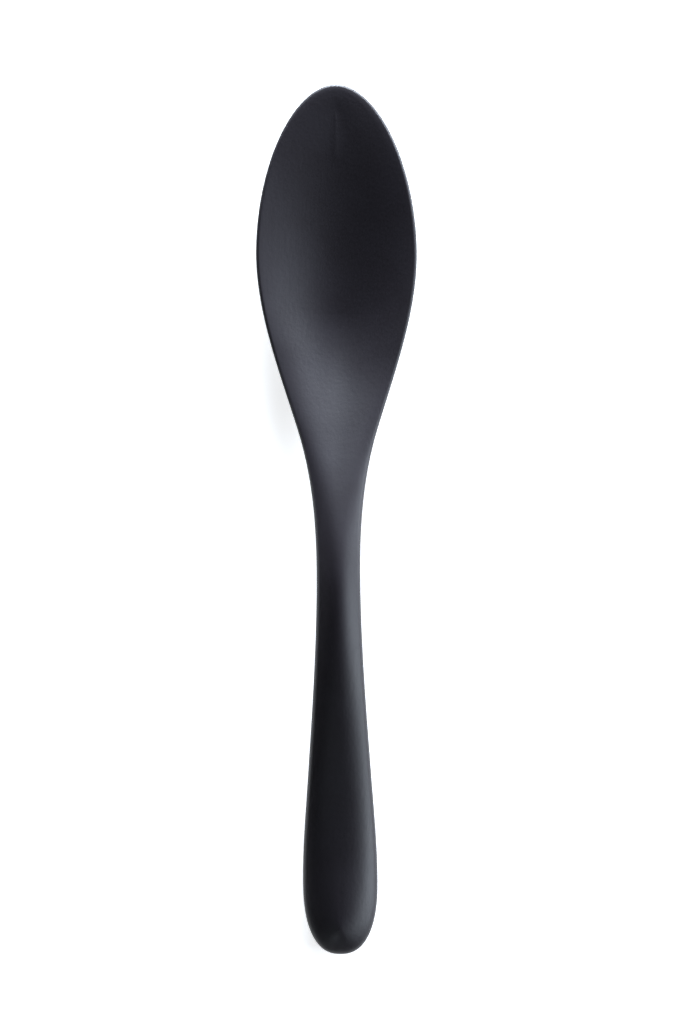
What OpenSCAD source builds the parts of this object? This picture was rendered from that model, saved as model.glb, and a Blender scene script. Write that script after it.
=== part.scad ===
// Lacquered wooden table spoon: one carved wooden blank inside a closed coat of satin lacquer.
// Millimetres. +Z is up, +Y runs from the end of the handle to the tip of the bowl, and the
// origin is under the middle of the spoon, on the table that it lies on.

/* [Plan] */
// Length from the end of the handle to the tip of the bowl
spoon_len = 200; // [170:1:230]
// Width of the bowl at its widest
bowl_w = 37; // [33:0.5:42]
// Width of the waist, the slimmest place behind the bowl
waist_w = 10; // [9:0.25:12]
// Width of the handle at its widest
grip_w = 17.2; // [15:0.2:20]

/* [Side view] */
// Height of the top of the neck above the table
neck_h = 17.3; // [16:0.1:19]
// Height of the edge beside the widest place, to the middle of its thickness
rim_h = 6.4; // [6:0.1:7.4]
// Height of the edge at the tip, to the middle of its thickness
tip_h = 6.5; // [6:0.1:7.4]
// Thickness of the wall at the bottom of the bowl
floor_t = 2; // [1.8:0.1:2.6]
// Thickness of the handle at its widest
grip_t = 7.8; // [7.2:0.1:8.4]
// Thickness of the waist
waist_t = 6; // [5.4:0.1:6.6]

/* [Edges] */
// Thickness of the rounded edge round the bowl
rim_t = 1.3; // [1.1:0.05:1.8]
// Radius of the rounded side of the handle
grip_r = 2; // [1.6:0.1:2.4]
// Radius of the rounded side of the waist
waist_r = 1.8; // [1.5:0.1:2.1]

/* [Coat] */
// Thickness of the ground and lacquer over the wood
coat_t = 0.2; // [0.15:0.05:0.3]

/* [Rest] */
// Depth sanded off under the bowl, so that the spoon lies steadily
bowl_cut = 0.45; // [0.35:0.05:0.6]
// Depth sanded off under the end of the handle
grip_cut = 0.3; // [0.2:0.05:0.4]

/* [Hidden] */

// Stations along the spoon, measured from the end of the handle
unit = spoon_len / 200;
grip_at = 17 * unit;
shaft_at = 42 * unit;
neck_at = 85 * unit;
waist_at = 88 * unit;
turn_at = 108 * unit;
shoulder_at = 121 * unit;
ramp_at = 138 * unit;
floor_at = 148 * unit;
widest_at = 161.3 * unit;

// Fullness of the two ends of the outline: 2 is an ellipse, and more is squarer
tip_power = 1.9;
end_power = 2.4;

// Each curve below is a list of [station, value, slope], read by curve()
half_width = [
    [grip_at, grip_w / 2, 0],
    [shaft_at, grip_w * 0.42, -0.07],
    [waist_at, waist_w / 2, 0],
    [shoulder_at, bowl_w / 4, 0.31],
    [widest_at, bowl_w / 2, 0]
];
// Middle of the top: the crest of the handle, the neck and the floor of the bowl
top_mid = [
    [grip_at, grip_t, 0.03],
    [neck_at, neck_h, 0],
    [shoulder_at, neck_h * 0.52, -0.33],
    [floor_at, floor_t, 0],
    [spoon_len, tip_h + rim_t / 2, 0.05]
];
// Middle of the underside, which meets the table under the handle and under the bowl
keel_mid = [
    [grip_at, -grip_cut, 0.01],
    [neck_at, neck_h - waist_t, 0],
    [shoulder_at, neck_h * 0.52 - waist_t * 0.65, -0.27],
    [floor_at, -bowl_cut, 0],
    [spoon_len, tip_h - rim_t, 0.1]
];
// Height of the middle of the rounded edge
edge_mid = [
    [0, grip_t * 0.42, 0.03],
    [grip_at, grip_t * 0.5, 0.09],
    [neck_at, neck_h * 0.81, 0],
    [ramp_at, rim_h, 0],
    [spoon_len, tip_h, 0]
];
// Radius of the rounded edge
edge_r = [
    [grip_at, grip_r, 0],
    [neck_at, waist_r, 0],
    [ramp_at, rim_t / 2, 0]
];
// Angle up round the edge, from its side, where the top starts: past 90 the top is dished
top_turn = [
    [grip_at, 52, 0],
    [turn_at, 60, 0],
    [ramp_at, 98, 1.3],
    [widest_at, 106, 0],
    [spoon_len, 84, -1]
];
// The same angle down to where the underside starts
keel_turn = [
    [neck_at, 50, 0],
    [widest_at, 60, 0],
    [spoon_len, 73, 0]
];

// Counts of steps: round each end, along each side, round the edge and across each face
tip_steps = 12;
side_steps = 34;
end_steps = 9;
turn_steps = 8;
face_steps = 6;
// How far towards the middle of the spoon the ribs lean, as a share of their station
gather = 0.93;

// A smooth value between two [station, value, slope] entries
function ease(a, b, s) =
    let (h = b[0] - a[0], t = (s - a[0]) / h)
    a[1] * (2 * t ^ 3 - 3 * t ^ 2 + 1) + a[2] * h * (t ^ 3 - 2 * t ^ 2 + t)
    + b[1] * (3 * t ^ 2 - 2 * t ^ 3) + b[2] * h * (t ^ 3 - t ^ 2);

// The value of a curve at a station, run on in a straight line past its two ends
function curve(c, s, i = 0) =
    s <= c[0][0] ? c[0][1] + c[0][2] * (s - c[0][0])
    : i == len(c) - 1 ? c[i][1] + c[i][2] * (s - c[i][0])
    : s <= c[i + 1][0] ? ease(c[i], c[i + 1], s)
    : curve(c, s, i + 1);

// Right-hand half of the outline, from the tip to the end of the handle, as [x, station]
half_outline = concat(
    [for (i = [0 : tip_steps - 1]) let (a = 90 * i / tip_steps)
        [bowl_w / 2 * sin(a) ^ (2 / tip_power),
         widest_at + (spoon_len - widest_at) * cos(a) ^ (2 / tip_power)]],
    [for (i = [0 : side_steps]) let (s = widest_at + (grip_at - widest_at) * i / side_steps)
        [curve(half_width, s), s]],
    [for (i = [1 : end_steps]) let (a = 90 * (1 - i / end_steps))
        [grip_w / 2 * sin(a) ^ (2 / end_power), grip_at * (1 - cos(a) ^ (2 / end_power))]]
);
half_count = len(half_outline) - 1;
rib_count = 2 * half_count;

// Outline point of rib i: the ribs past the end of the handle mirror the others
function mirrored(i) = min((i + rib_count) % rib_count, rib_count - (i + rib_count) % rib_count);
function outline(i) =
    let (p = half_outline[mirrored(i)])
    (i + rib_count) % rib_count <= half_count ? p : [-p[0], p[1]];

// Direction straight out of the outline at rib i
function outward(i) =
    let (along = outline(i + 1) - outline(i - 1))
    [-along[1], along[0]] / norm(along);

// Station on the centre line where rib i ends
function spine(i) = spoon_len / 2 + gather * (outline(i)[1] - spoon_len / 2);

// Height kept above the table, on which the sanded flats lie
function sanded(z, inset) = max(z, inset);

// Point of rib i on its rounded edge, inset below the surface
function edge_point(i, turn, inset) =
    let (o = outline(i), r = curve(edge_r, o[1]), q = o + outward(i) * ((r - inset) * cos(turn) - r))
    [q[0], q[1], curve(edge_mid, o[1]) + (r - inset) * sin(turn)];

// Points of rib i from the edge towards the centre line, which is left out
function face_points(i, turn, mid, inset) =
    let (
        p = edge_point(i, turn, inset),
        end = [0, spine(i)],
        way = end - [p[0], p[1]],
        run = norm(way),
        fall = (curve(mid, end[1] + 0.5) - curve(mid, end[1] - 0.5)) * way[1] / run,
        lean = -(way * outward(i)) / run,
        from = [0, p[2], lean / tan(turn)],
        to = [run, curve(mid, end[1]) - inset * sign(turn), fall]
    )
    [for (k = [0 : face_steps - 1]) let (t = k / face_steps)
        [p[0] + way[0] * t, p[1] + way[1] * t, sanded(ease(from, to, run * t), inset)]];

// Points of rib i over the top, round the edge and under to the keel
rib_points = 2 * face_steps + turn_steps - 1;
function rib(i, inset) =
    let (
        s = outline(i)[1],
        up = curve(top_turn, s),
        down = -curve(keel_turn, s),
        top = face_points(i, up, top_mid, inset),
        under = face_points(i, down, keel_mid, inset)
    )
    concat(
        [for (k = [face_steps - 1 : -1 : 0]) top[k]],
        [for (k = [1 : turn_steps - 1]) edge_point(i, up + (down - up) * k / turn_steps, inset)],
        under
    );

// Number of point k of rib i: 0 is on the top of the centre line and the last is on the keel
function number(i, k) =
    k == 0 ? rib_count * rib_points + mirrored(i)
    : k > rib_points ? rib_count * rib_points + half_count + 1 + mirrored(i)
    : (i % rib_count) * rib_points + k - 1;

// The closed surface of the spoon, drawn inset below the outside
module skin(inset) {
    points = concat(
        [for (i = [0 : rib_count - 1]) each rib(i, inset)],
        [for (i = [0 : half_count]) [0, spine(i), curve(top_mid, spine(i)) - inset]],
        [for (i = [0 : half_count]) [0, spine(i), sanded(curve(keel_mid, spine(i)) + inset, inset)]]
    );
    triangles = [
        for (i = [0 : rib_count - 1], k = [0 : rib_points])
            let (a = number(i, k), b = number(i + 1, k), c = number(i + 1, k + 1), d = number(i, k + 1))
            each norm(points[a] - points[c]) < norm(points[b] - points[d])
                ? [[a, c, b], [a, d, c]] : [[a, d, b], [b, d, c]]
    ];
    translate([0, -spoon_len / 2, 0]) polyhedron(points = points, faces = triangles);
}

module wood_core() {
    color("burlywood") skin(coat_t);
}

module lacquer_coat() {
    color("dimgray") difference() {
        skin(0);
        skin(coat_t);
    }
}

wood_core();
lacquer_coat();
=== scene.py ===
# %% [markdown]
# # A lacquered wooden spoon
# The object is one carved piece of wood under a closed coat of satin black lacquer. Its exact solids
# come from the CAD frame, which is loaded first and is never changed. Each cell below adds one thing:
# the sizes, the curves of the spoon, its smooth surface, the lacquer, the wood, and then the studio.

# %% Load the frame
import math
import bmesh
import bpy
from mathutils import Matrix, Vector
from mathutils.bvhtree import BVHTree


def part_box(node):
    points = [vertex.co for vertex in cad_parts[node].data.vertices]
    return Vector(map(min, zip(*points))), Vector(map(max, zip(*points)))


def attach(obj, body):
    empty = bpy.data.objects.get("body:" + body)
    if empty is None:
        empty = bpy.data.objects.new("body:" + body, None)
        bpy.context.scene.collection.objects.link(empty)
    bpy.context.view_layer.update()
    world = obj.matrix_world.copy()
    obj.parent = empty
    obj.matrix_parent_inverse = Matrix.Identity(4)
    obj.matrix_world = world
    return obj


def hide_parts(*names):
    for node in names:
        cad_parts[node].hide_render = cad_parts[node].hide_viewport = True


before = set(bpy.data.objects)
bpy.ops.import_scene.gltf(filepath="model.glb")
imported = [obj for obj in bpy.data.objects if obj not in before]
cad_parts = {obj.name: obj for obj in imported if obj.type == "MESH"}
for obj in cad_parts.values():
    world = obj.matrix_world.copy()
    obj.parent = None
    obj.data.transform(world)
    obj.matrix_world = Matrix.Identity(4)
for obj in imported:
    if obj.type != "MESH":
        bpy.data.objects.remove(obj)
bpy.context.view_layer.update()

print("nodes:", sorted(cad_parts))

# %% [markdown]
# ## Sizes
# A spoon is drawn from a few sizes: its length, the widths of bowl, waist and handle, and some
# heights. The length, the width of the bowl and the height of the neck are read from the frame, so
# the picture can't drift from the solids. The others are a maker's shares of those.

# %% Sizes of the spoon
low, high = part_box("lacquer_coat")
spoon_len = high.y - low.y
bowl_w = high.x - low.x
neck_h = high.z
drawn_len = 200
mm = spoon_len / drawn_len

waist_w = 10 * mm
grip_w = 17.2 * mm
rim_h = 6.4 * mm
tip_h = 6.5 * mm
floor_t = 2 * mm
grip_t = 7.8 * mm
waist_t = 6 * mm
rim_t = 1.3 * mm
grip_r = 2 * mm
waist_r = 1.8 * mm
coat_t = 0.2 * mm
bowl_cut = 0.45 * mm
grip_cut = 0.3 * mm
per_metre = 1000
print(f"spoon {spoon_len * per_metre:.1f} mm long, bowl {bowl_w * per_metre:.1f} mm wide")
print(f"neck {neck_h * per_metre:.1f} mm high")

# %% [markdown]
# ## Curves
# A carver draws a spoon twice: from above and from the side. Each line of those drawings is given here
# by a few points with the slope of the line at each, and a cubic runs smoothly between them. A
# sculpted mesh or a subdivision cage could give the same form, but lines with real sizes are easy to
# compare with the solids, and easy to change.

# %% Stations along the spoon, from the end of the handle
grip_at, shaft_at, neck_at, waist_at = 17 * mm, 42 * mm, 85 * mm, 88 * mm
turn_at, shoulder_at, ramp_at = 108 * mm, 121 * mm, 138 * mm
floor_at, widest_at = 148 * mm, 161.3 * mm

# %% Fullness of the two rounded ends: 2 is an ellipse, and more is squarer
tip_power, end_power = 1.9, 2.4


def ease(a, b, s):
    """A smooth value at s between two (station, value, slope) entries."""
    h = b[0] - a[0]
    t = (s - a[0]) / h
    return (a[1] * (2 * t**3 - 3 * t**2 + 1) + a[2] * h * (t**3 - 2 * t**2 + t)
            + b[1] * (3 * t**2 - 2 * t**3) + b[2] * h * (t**3 - t**2))


def curve(line, s):
    """The value of a line at station s, run on straight past its two ends."""
    if s <= line[0][0]:
        return line[0][1] + line[0][2] * (s - line[0][0])
    for a, b in zip(line, line[1:]):
        if s <= b[0]:
            return ease(a, b, s)
    return line[-1][1] + line[-1][2] * (s - line[-1][0])


# %% The line from above
half_width = [
    (grip_at, grip_w / 2, 0),
    (shaft_at, grip_w * 0.42, -0.07),
    (waist_at, waist_w / 2, 0),
    (shoulder_at, bowl_w / 4, 0.31),
    (widest_at, bowl_w / 2, 0),
]

# %% The lines from the side
top_mid = [
    (grip_at, grip_t, 0.03),
    (neck_at, neck_h, 0),
    (shoulder_at, neck_h * 0.52, -0.33),
    (floor_at, floor_t, 0),
    (spoon_len, tip_h + rim_t / 2, 0.05),
]
keel_mid = [
    (grip_at, -grip_cut, 0.01),
    (neck_at, neck_h - waist_t, 0),
    (shoulder_at, neck_h * 0.52 - waist_t * 0.65, -0.27),
    (floor_at, -bowl_cut, 0),
    (spoon_len, tip_h - rim_t, 0.1),
]
edge_mid = [
    (0, grip_t * 0.42, 0.03),
    (grip_at, grip_t * 0.5, 0.09),
    (neck_at, neck_h * 0.81, 0),
    (ramp_at, rim_h, 0),
    (spoon_len, tip_h, 0),
]

# %% The rounding of the edge
edge_r = [
    (grip_at, grip_r, 0),
    (neck_at, waist_r, 0),
    (ramp_at, rim_t / 2, 0),
]
per_mm = 1 / mm
top_turn = [
    (grip_at, 52, 0),
    (turn_at, 60, 0),
    (ramp_at, 98, 1.3 * per_mm),
    (widest_at, 106, 0),
    (spoon_len, 84, -1 * per_mm),
]
keel_turn = [
    (neck_at, 50, 0),
    (widest_at, 60, 0),
    (spoon_len, 73, 0),
]

# %% [markdown]
# ## Ribs
# The surface is laid over ribs, as a boat's hull is. Each rib starts on the middle of the top, runs out
# to the edge, turns round it in an arc and comes back under to the keel. Ribs set square to the outline
# keep the rounded edge even all the way round the bowl, where slices across the spoon would bunch up at
# the tip. The same ribs, set in by the thickness of the coat, give the wood.

# %% The outline, from the tip to the end of the handle
tip_steps, side_steps, end_steps = 48, 136, 36
turn_steps, face_steps = 20, 24
# A rib ends at this share of its outline point's distance from the middle of the spoon
gather = 0.93


def tip_point(a):
    """A point of the rounded tip, from the tip at 0 to the widest place at 90 degrees."""
    return (bowl_w / 2 * math.sin(a) ** (2 / tip_power),
            widest_at + (spoon_len - widest_at) * math.cos(a) ** (2 / tip_power))


def end_point(a):
    """A point of the rounded end of the handle, from its side at 90 degrees to its end at 0."""
    return (grip_w / 2 * math.sin(a) ** (2 / end_power), grip_at * (1 - math.cos(a) ** (2 / end_power)))


quarter = math.pi / 2
half_outline = [tip_point(quarter * i / tip_steps) for i in range(tip_steps)]
for i in range(side_steps + 1):
    s = widest_at + (grip_at - widest_at) * i / side_steps
    half_outline.append((curve(half_width, s), s))
half_outline += [end_point(quarter * (1 - i / end_steps)) for i in range(1, end_steps + 1)]
half_count = len(half_outline) - 1
rib_count = 2 * half_count
print(rib_count, "ribs")


def mirrored(i):
    """The rib of the right half that rib i is, or that it mirrors."""
    return min(i % rib_count, rib_count - i % rib_count)


def outline(i):
    """Point i round the whole outline; the left half mirrors the right."""
    x, s = half_outline[mirrored(i)]
    return Vector((x if i % rib_count <= half_count else -x, s))


def outward(i):
    """The direction straight out of the outline at rib i."""
    along = outline(i + 1) - outline(i - 1)
    return Vector((-along.y, along.x)).normalized()


def spine(i):
    """The station on the centre line where rib i ends."""
    return spoon_len / 2 + gather * (outline(i).y - spoon_len / 2)


# %% One rib
def edge_point(i, turn, inset):
    """A point of rib i on its rounded edge."""
    o = outline(i)
    r = curve(edge_r, o.y)
    q = o + outward(i) * ((r - inset) * math.cos(turn) - r)
    return Vector((q.x, q.y, curve(edge_mid, o.y) + (r - inset) * math.sin(turn)))


def face_points(i, turn, line, inset):
    """Points of rib i from the edge towards the centre line."""
    p = edge_point(i, turn, inset)
    end = Vector((0, spine(i)))
    way = end - p.xy
    run = way.length
    slope = (curve(line, end.y + mm / 2) - curve(line, end.y - mm / 2)) / mm
    lean = -way.dot(outward(i)) / run
    start = (0, p.z, lean / math.tan(turn))
    stop = (run, curve(line, end.y) - math.copysign(inset, turn), slope * way.y / run)
    points = []
    for k in range(face_steps):
        t = k / face_steps
        points.append(Vector((*(p.xy + way * t), max(ease(start, stop, run * t), inset))))
    return points


def rib(i, inset):
    """Points of rib i over the top, round the edge and under to the keel, without its two ends."""
    s = outline(i).y
    up = math.radians(curve(top_turn, s))
    down = -math.radians(curve(keel_turn, s))
    arc = [edge_point(i, up + (down - up) * k / turn_steps, inset) for k in range(1, turn_steps)]
    return face_points(i, up, top_mid, inset)[::-1] + arc + face_points(i, down, keel_mid, inset)


# %% A closed skin
rib_points = 2 * face_steps + turn_steps - 1


def number(i, k):
    """The number of point k of rib i, where the first and the last lie on the centre line."""
    if k == 0:
        return rib_count * rib_points + mirrored(i)
    if k > rib_points:
        return rib_count * rib_points + half_count + 1 + mirrored(i)
    return (i % rib_count) * rib_points + k - 1


def skin(inset):
    """Points and outward-facing quads of the spoon's surface, set in by inset."""
    points = [p for i in range(rib_count) for p in rib(i, inset)]
    tops = [(0, spine(i), curve(top_mid, spine(i)) - inset) for i in range(half_count + 1)]
    keels = [(0, spine(i), max(curve(keel_mid, spine(i)) + inset, inset)) for i in range(half_count + 1)]
    points += [Vector(p) for p in tops + keels]
    quads = [(number(i, k), number(i, k + 1), number(i + 1, k + 1), number(i + 1, k))
             for i in range(rib_count) for k in range(rib_points + 1)]
    return [p - Vector((0, spoon_len / 2, 0)) for p in points], quads


def make_piece(name, points, quads):
    """A smooth-shaded object that rides on the spoon's one body."""
    mesh = bpy.data.meshes.new(name)
    mesh.from_pydata(points, [], quads)
    mesh.shade_smooth()
    piece = bpy.data.objects.new(name, mesh)
    bpy.context.scene.collection.objects.link(piece)
    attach(piece, "root")
    return piece


# %% [markdown]
# ## The two pieces
# The coat is a real thin shell, with the outside of the spoon and, a fifth of a millimetre in, the
# face that sits on the wood. The wood fills it. Both replace their faceted solids from the frame.

# %% The coat and the wood
outer_points, outer_quads = skin(0)
inner_points, inner_quads = skin(coat_t)
count = len(outer_points)
inward_quads = [tuple(count + n for n in reversed(quad)) for quad in inner_quads]
coat = make_piece("satin_black_coat", outer_points + inner_points, outer_quads + inward_quads)
wood = make_piece("carved_wood_blank", inner_points, inner_quads)
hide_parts("lacquer_coat")
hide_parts("wood_core")
print(len(coat.data.polygons), "faces on the coat,", len(wood.data.polygons), "on the wood")

# %% Mark the rounded edge
fade_steps = 3


def mark_edge(piece, shells):
    """Stores how near each point is to the rounded edge, from 0 on the faces to 1 on the edge."""
    nearness = piece.data.attributes.new("near_edge", "FLOAT", "POINT")
    middle = face_steps + turn_steps / 2
    reach = turn_steps / 2 + fade_steps
    one_rib = [max(0, 1 - abs(k - middle) / reach) for k in range(1, rib_points + 1)]
    centre_line = [0] * (2 * (half_count + 1))
    nearness.data.foreach_set("value", (one_rib * rib_count + centre_line) * shells)


mark_edge(coat, 2)
mark_edge(wood, 1)

# %% [markdown]
# ## Sanding
# Where many ribs run together, near the tip and near the end of the handle, they leave a faint star.
# A carver would sand it away, and so does this step: it takes each point of the faces near the two
# ends towards the mean height of its neighbours, many times over, and leaves the rounded edge alone.
# A smoothing modifier would pull the outline in as well, so only heights are changed here.

# %% Sand the faces near the two ends
sanded_len = 18 * mm
sanding_rounds = 60


def sand(piece):
    """Evens the heights of the faces near both ends, and returns the furthest that a point moved."""
    mesh = bmesh.new()
    mesh.from_mesh(piece.data)
    nearness = mesh.verts.layers.float["near_edge"]
    ends = [v for v in mesh.verts if abs(v.co.y) > spoon_len / 2 - sanded_len]
    faces = [v for v in ends if v[nearness] == 0 and v.co.z > 2 * coat_t]
    before = [v.co.z for v in faces]
    for _ in range(sanding_rounds):
        bmesh.ops.smooth_vert(mesh, verts=faces, factor=0.5, use_axis_z=True)
    moved = max(abs(v.co.z - z) for v, z in zip(faces, before))
    mesh.to_mesh(piece.data)
    mesh.free()
    return moved


print(f"sanding moved the coat's surface by {sand(coat) * per_metre:.3f} mm at most")
print(f"and the wood's by {sand(wood) * per_metre:.3f} mm")

# %% Compare the smooth surface with the solids
cad_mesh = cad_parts["lacquer_coat"].data
cad_points = [v.co for v in cad_mesh.vertices]
cad_tree = BVHTree.FromPolygons(cad_points, [p.vertices[:] for p in cad_mesh.polygons])
gaps = [cad_tree.find_nearest(v.co)[-1] for v in coat.data.vertices]
print(f"furthest from the solids: {max(gaps) * per_metre:.3f} mm")
print(f"on average: {sum(gaps) / len(gaps) * per_metre:.3f} mm")

# %% [markdown]
# ## Satin black lacquer
# The real coat is a black ground under a thin lacquer, rubbed down to a satin. It is one dark colour,
# so what the eye reads is its surface: a broad soft highlight, a faint orange peel where the lacquer
# drew together as it dried, the grain of the wood telling very slightly along the spoon, and fine
# scuffs. All of that is noise in the roughness and the bump. A painted image could carry it too, but
# noise measured in the spoon's own millimetres keeps the right size from any distance. The abrasive
# bites hardest on the edge and leaves it a little duller, so the mesh says how near it each point is.

# %% Helpers for the finishes
def add(tree, kind, **settings):
    """A new node with its settings, and its inputs by name where they have a default."""
    node = tree.nodes.new(kind)
    for name, value in settings.items():
        if hasattr(node, name):
            setattr(node, name, value)
        else:
            node.inputs[name.replace("_", " ")].default_value = value
    return node


def remap(tree, value, low_end, high_end):
    """Spreads a 0 to 1 value between two numbers, and returns the new value."""
    node = add(tree, "ShaderNodeMapRange")
    node.inputs["To Min"].default_value = low_end
    node.inputs["To Max"].default_value = high_end
    tree.links.new(value, node.inputs["Value"])
    return node.outputs["Result"]


def combine(tree, operation, first, second):
    """One number from two, each of which is a socket or a plain number."""
    node = add(tree, "ShaderNodeMath", operation=operation)
    for socket, value in zip(node.inputs, (first, second)):
        if isinstance(value, (int, float)):
            socket.default_value = value
        else:
            tree.links.new(value, socket)
    return node.outputs["Value"]


def noise(tree, place, size, detail=2.0, stretch=1.0):
    """Noise whose features are about size across, and stretch times that along the spoon."""
    mapping = add(tree, "ShaderNodeMapping")
    mapping.inputs["Scale"].default_value = (1, 1 / stretch, 1)
    texture = add(tree, "ShaderNodeTexNoise", Scale=1 / size, Detail=detail)
    tree.links.new(place, mapping.inputs["Vector"])
    tree.links.new(mapping.outputs["Vector"], texture.inputs["Vector"])
    return texture.outputs["Fac"]


def bump_surface(tree, shader, height):
    """Raises a surface by a height in metres, in its shading only."""
    bump = add(tree, "ShaderNodeBump", Distance=1.0)
    tree.links.new(height, bump.inputs["Height"])
    tree.links.new(bump.outputs["Normal"], shader.inputs["Normal"])


# %% The lacquer's nodes
lacquer_ior = 1.5
cloud_size = 9 * mm
grain_size = 0.5 * mm
grain_stretch = 18
peel_size = 0.9 * mm
scuff_size = 0.16 * mm
scuff_stretch = 2.5

lacquer = bpy.data.materials.new("satin_black_lacquer")
lacquer.use_nodes = True
tree = lacquer.node_tree
shader = tree.nodes["Principled BSDF"]
shader.inputs["IOR"].default_value = lacquer_ior
place = add(tree, "ShaderNodeTexCoord").outputs["Object"]
near_edge = add(tree, "ShaderNodeAttribute", attribute_name="near_edge").outputs["Fac"]

clouds = noise(tree, place, cloud_size)
grain = noise(tree, place, grain_size, detail=3.0, stretch=grain_stretch)
peel = noise(tree, place, peel_size, detail=1.0)
scuffs = noise(tree, place, scuff_size, detail=4.0, stretch=scuff_stretch)
print(f"lacquer features from {scuff_size * per_metre:.2f} to {cloud_size * per_metre:.1f} mm")

# %% The lacquer's colour
soft_black = (0.0115, 0.0088, 0.0120, 1)
faded_black = (0.0135, 0.0110, 0.0158, 1)
tint = add(tree, "ShaderNodeMix", data_type="RGBA")
tint.inputs["A"].default_value = soft_black
tint.inputs["B"].default_value = faded_black
tree.links.new(clouds, tint.inputs["Factor"])
tree.links.new(tint.outputs["Result"], shader.inputs["Base Color"])

# %% The lacquer's sheen
satin = 0.44
unevenness = 0.03
scuffing = 0.06
edge_dulling = 0.08
broad = remap(tree, clouds, satin - unevenness, satin + unevenness)
rough = combine(tree, "ADD", broad, remap(tree, scuffs, -scuffing, scuffing))
rough = combine(tree, "ADD", rough, combine(tree, "MULTIPLY", near_edge, edge_dulling))
tree.links.new(rough, shader.inputs["Roughness"])

# %% The lacquer's surface
peel_depth = 0.024 * mm
grain_depth = 0.008 * mm
scuff_depth = 0.006 * mm
relief = combine(tree, "MULTIPLY", peel, peel_depth)
relief = combine(tree, "ADD", relief, combine(tree, "MULTIPLY", grain, grain_depth))
relief = combine(tree, "ADD", relief, combine(tree, "MULTIPLY", scuffs, scuff_depth))
bump_surface(tree, shader, relief)
coat.data.materials.append(lacquer)

# %% [markdown]
# ## Limewood
# Under the coat is pale, even wood such as lime or birch, cut along the grain. No one sees it until the
# lacquer chips, but the piece should still look right by itself. Its year rings are long bands that
# run the length of the spoon and waver a little, with a fine fibre between them, all from stretched
# noise, because a ring is never quite straight.

# %% The wood's nodes
ring_scale = 0.16 / mm
ring_stretch = (1, 0.05, 0.6)
fibre_size = 0.25 * mm
fibre_stretch = 30
fibre_depth = 0.02 * mm

limewood = bpy.data.materials.new("pale_limewood")
limewood.use_nodes = True
tree = limewood.node_tree
shader = tree.nodes["Principled BSDF"]
place = add(tree, "ShaderNodeTexCoord").outputs["Object"]
rings = add(tree, "ShaderNodeTexWave", bands_direction="X", Scale=ring_scale, Distortion=2.5,
            Detail=2.0)
rings.inputs["Detail Scale"].default_value = 0.6
along = add(tree, "ShaderNodeMapping")
along.inputs["Scale"].default_value = ring_stretch
tree.links.new(place, along.inputs["Vector"])
tree.links.new(along.outputs["Vector"], rings.inputs["Vector"])
fibre = noise(tree, place, fibre_size, detail=4.0, stretch=fibre_stretch)

# %% The wood's colour and surface
early_wood = (0.58, 0.40, 0.23, 1)
late_wood = (0.44, 0.28, 0.15, 1)
smooth_wood, rough_wood = 0.55, 0.75
faintest_ring = 0.5
bands = add(tree, "ShaderNodeMix", data_type="RGBA")
bands.inputs["A"].default_value = early_wood
bands.inputs["B"].default_value = late_wood
ring_strength = remap(tree, fibre, faintest_ring, 1)
ring_share = combine(tree, "MULTIPLY", rings.outputs["Fac"], ring_strength)
tree.links.new(ring_share, bands.inputs["Factor"])
tree.links.new(bands.outputs["Result"], shader.inputs["Base Color"])
tree.links.new(remap(tree, fibre, smooth_wood, rough_wood), shader.inputs["Roughness"])
bump_surface(tree, shader, combine(tree, "MULTIPLY", fibre, fibre_depth))
wood.data.materials.append(limewood)

# %% [markdown]
# ## Studio
# Black satin shows its lights and little else, so it lies on a light table: a white floor whose glow
# leaves only a faint shadow. A pale dome stands in for the studio's far walls. Only the camera sees
# it, so it puts no light on the spoon. A bright world could stand there too, but it would light the
# spoon from every side.

# %% A piece of the studio
def stage_piece(name, points, faces, glow, colour):
    """A piece of the studio with a plain matt surface that glows a little."""
    mesh = bpy.data.meshes.new(name)
    mesh.from_pydata(points, [], faces)
    surface = bpy.data.materials.new(name + "_surface")
    surface.use_nodes = True
    matt = surface.node_tree.nodes["Principled BSDF"]
    matt.inputs["Base Color"].default_value = colour
    matt.inputs["Roughness"].default_value = 0.9
    matt.inputs["Emission Color"].default_value = colour
    matt.inputs["Emission Strength"].default_value = glow
    mesh.materials.append(surface)
    piece = bpy.data.objects.new(name, mesh)
    bpy.context.scene.collection.objects.link(piece)
    return piece


def direction(a, e):
    """The direction at angle a, from +X towards +Y, and at angle e above the table."""
    return Vector((math.cos(a) * math.cos(e), math.sin(a) * math.cos(e), math.sin(e)))


# %% The light table, just below the flats so that no two faces share a place
room = spoon_len * 25
white = (0.9, 0.9, 0.9, 1)
table_glow, dome_glow = 0.8, 1.0
gap = 0.02 * mm
corners = [Vector((x * room, y * room, -gap)) for x, y in ((-1, -1), (1, -1), (1, 1), (-1, 1))]
light_table = stage_piece("light_table", corners, [(0, 1, 2, 3)], table_glow, white)
print(f"light table {2 * room:.0f} m square")

# %% The dome, a little inside the table's edge and open by a pinhole at the top
dome_r = room * 0.99
dome_top = quarter * 0.999
dome_rings, dome_sides = 8, 32
dome_points, dome_faces = [], []
for j in range(dome_rings + 1):
    for i in range(dome_sides):
        dome_points.append(direction(math.tau * i / dome_sides, dome_top * j / dome_rings) * dome_r)
for j in range(dome_rings):
    for i in range(dome_sides):
        n, m = j * dome_sides + i, j * dome_sides + (i + 1) % dome_sides
        dome_faces.append((n, n + dome_sides, m + dome_sides, m))
dome = stage_piece("studio_dome", dome_points, dome_faces, dome_glow, white)
for ray in ("diffuse", "glossy", "transmission", "shadow"):
    setattr(dome, "visible_" + ray, False)
print(len(dome_faces), "faces on the dome")

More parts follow.
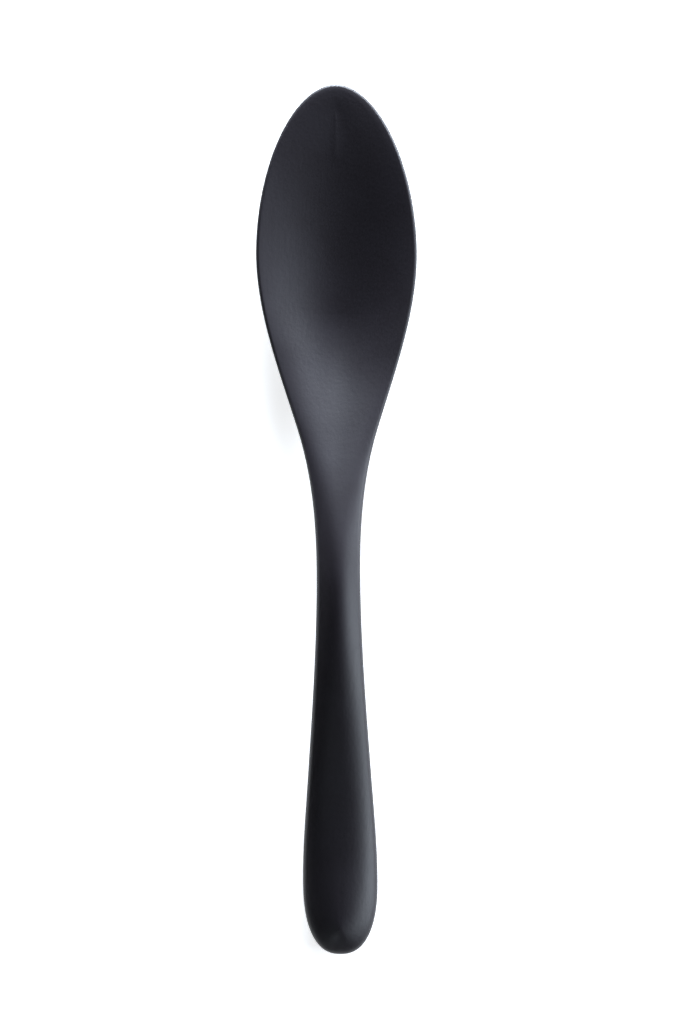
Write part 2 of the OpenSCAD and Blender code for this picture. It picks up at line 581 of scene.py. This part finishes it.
# %% [markdown]
# ## Softboxes
# Low softboxes beyond the tip and to the right skim across the spoon. The ramp of the bowl, the left
# wall and the right side of the handle turn to meet them, and the rest stays dark. A higher and much
# weaker one in front on the right rounds the handle, and two dim fills keep the rest from going quite
# black. A ring of light would show the form more evenly, but satin needs a dark side to look like satin.

# %% Softboxes
softbox_w = spoon_len * 1.8
softbox_distance = spoon_len * 4.5
cool_daylight = (0.90, 1.0, 1.10)


def softbox(name, azimuth, height, power):
    """A round softbox aimed at the spoon: azimuth and height are in degrees, power in watts."""
    away = direction(math.radians(azimuth), math.radians(height))
    light = bpy.data.lights.new(name, "AREA")
    light.shape = "DISK"
    light.size = softbox_w
    light.energy = power
    light.color = cool_daylight
    lamp = bpy.data.objects.new(name, light)
    lamp.location = away * softbox_distance
    lamp.rotation_euler = (-away).to_track_quat("-Z", "Y").to_euler()
    lamp.visible_camera = False
    bpy.context.scene.collection.objects.link(lamp)
    return lamp


softbox("softbox_beyond_the_tip", 90, 8, 35)
softbox("softbox_between", 60, 8, 9)
softbox("softbox_right", 30, 8, 11.5)
softbox("softbox_front_right", 345, 26, 4)
softbox("fill_front_right", 318, 38, 0.6)
softbox("fill_by_the_handle", 250, 40, 0.5)
print(len(bpy.data.lights), "lamps")

# %% The air of the studio
air_glow = 0.01
world = bpy.data.worlds.new("studio_air")
bpy.context.scene.world = world
world.use_nodes = True
world.node_tree.nodes["Background"].inputs["Strength"].default_value = air_glow

# %% [markdown]
# ## Camera
# The camera hangs straight above with a long lens, so that the spoon is seen flat, without one end
# looking nearer than the other. It is turned a third of a degree, because the spoon doesn't lie quite
# square in the view.

# %% The overhead camera
view_h = spoon_len * 1.182
aim = (0.8 * mm, 1.8 * mm)
camera_turn = math.radians(-0.35)
lens = 200
camera_data = bpy.data.cameras.new("overhead_camera")
camera_data.lens = lens
camera_data.clip_start = spoon_len / 100
camera = bpy.data.objects.new("overhead_camera", camera_data)
camera_h = view_h * lens / camera_data.sensor_width
camera.location = (*aim, camera_h)
camera.rotation_euler = (0, 0, camera_turn)
bpy.context.scene.collection.objects.link(camera)
bpy.context.scene.camera = camera
bpy.context.scene.view_settings.view_transform = "Standard"
print(f"camera {camera_h * per_metre:.0f} mm above the table")
